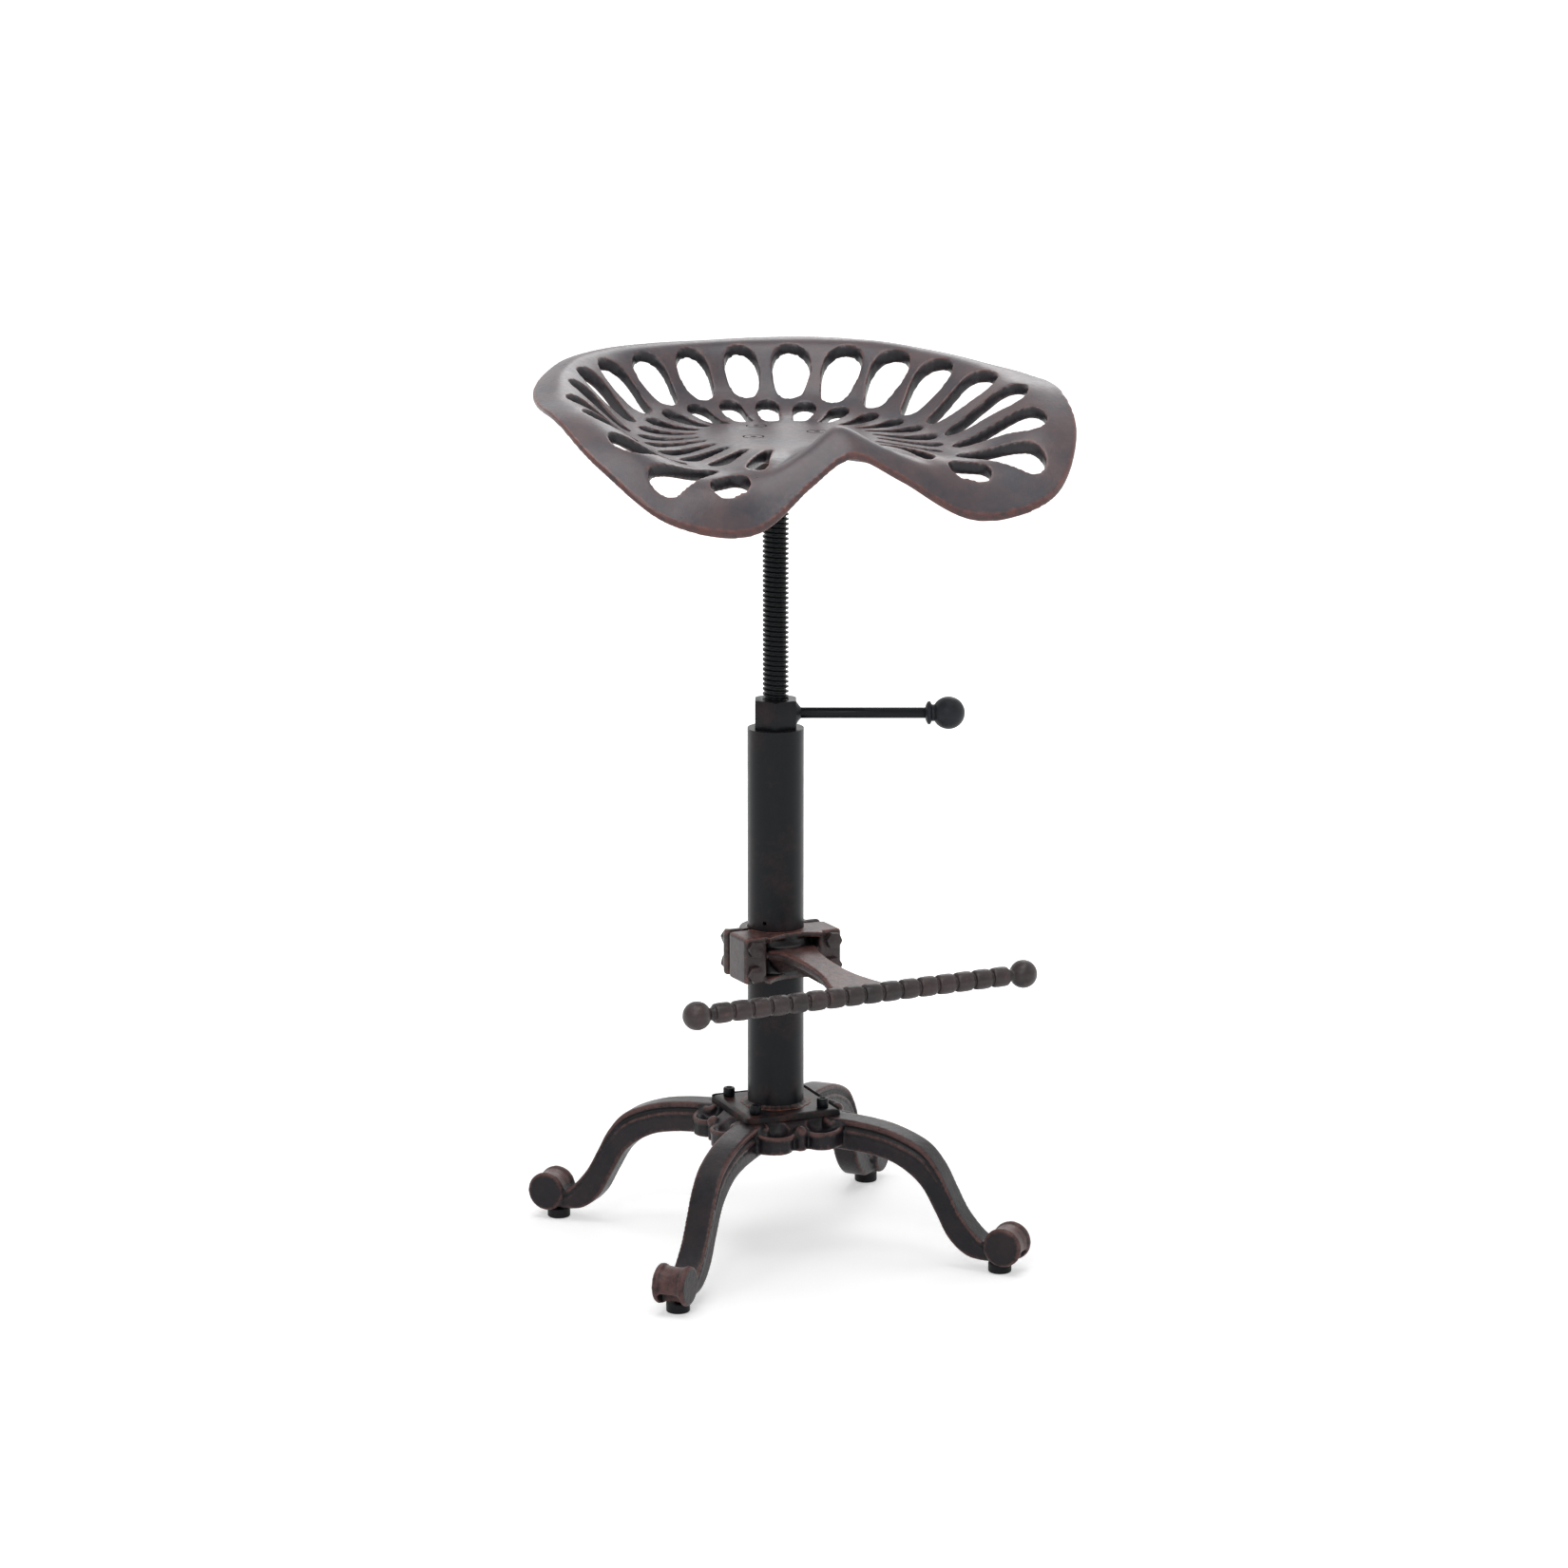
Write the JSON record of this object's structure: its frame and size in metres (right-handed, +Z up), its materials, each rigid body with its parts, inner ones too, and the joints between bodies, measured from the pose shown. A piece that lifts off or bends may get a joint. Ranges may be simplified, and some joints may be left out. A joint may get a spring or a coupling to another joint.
{
  "type": "tractor seat stool",
  "caption": "Height-adjustable stool with a pierced cast tractor seat on a screw spindle, a lever lock nut, a clamped beaded footrest bar and a scroll-legged cast base.",
  "frame": {"origin": "the point of the floor straight below the column's axis", "axes": "+Z up along the column, -Y towards the front of the seat and the footrest bar, +X to the sitter's left side as seen from the front on the right hand of the picture"},
  "size_m": [0.4474, 0.3722, 0.7694],
  "materials": {
    "antique_casting": "dark antique bronze wash over cast iron, rubbed copper-brown on the raised edges",
    "seat_bronze": "satin grey-brown antique bronze wash over cast iron, copper rub-through on the edges, near-black in the slots",
    "brown_casting": "brown antique wash over cast iron, rubbed on the beads",
    "blackened_steel": "satin blue-black with faint brown patches",
    "copper_worn_steel": "blue-black weld with copper blotches",
    "black_fastener": "black oxide, satin",
    "black_plastic": "moulded black, satin"
  },
  "bodies": {
    "stand": {"base_casting": "antique_casting", "glide_front_left": "black_plastic", "glide_front_right": "black_plastic", "glide_back_left": "black_plastic", "glide_back_right": "black_plastic", "flange_plate": "blackened_steel", "column_tube": "blackened_steel", "foot_weld": "copper_worn_steel", "thread_bush": "blackened_steel", "flange_screws": "black_fastener"},
    "lock": {"lock_nut": "blackened_steel", "lever_rod": "black_fastener", "lever_knob": "black_plastic"},
    "footrest": {"footrest_casting": "brown_casting", "clamp_back_half": "brown_casting", "clamp_bolts": "black_fastener", "clamp_nuts": "black_fastener"},
    "guide": {"guide_ring": "black_plastic"},
    "seat": {"spindle": "black_fastener", "stop_washer": "black_fastener", "stop_screw": "black_fastener", "mount_flange": "blackened_steel", "seat_screws": "black_fastener", "seat_casting": "seat_bronze"}
  },
  "joints": [
    {"name": "seat_height", "type": "slide", "parent": "stand", "child": "guide", "axis": [0, 0, 1], "range_m": [-0.19, 0.02]},
    {"name": "seat_turn", "type": "hinge", "parent": "guide", "child": "seat", "pos_m": [0, 0, 0.55], "axis": [0, 0, 1], "range_deg": [-16150, 1700]},
    {"name": "lock_turn", "type": "hinge", "parent": "stand", "child": "lock", "pos_m": [0, 0, 0.4696], "axis": [0, 0, 1], "range_deg": [0, 120]},
    {"name": "footrest_height", "type": "slide", "parent": "stand", "child": "footrest", "axis": [0, 0, 1], "range_m": [-0.09, 0.16]}
  ],
  "couplings": [
    {"joint": "seat_height", "follows": "seat_turn", "m_per_rad": 0.0006737}
  ]
}
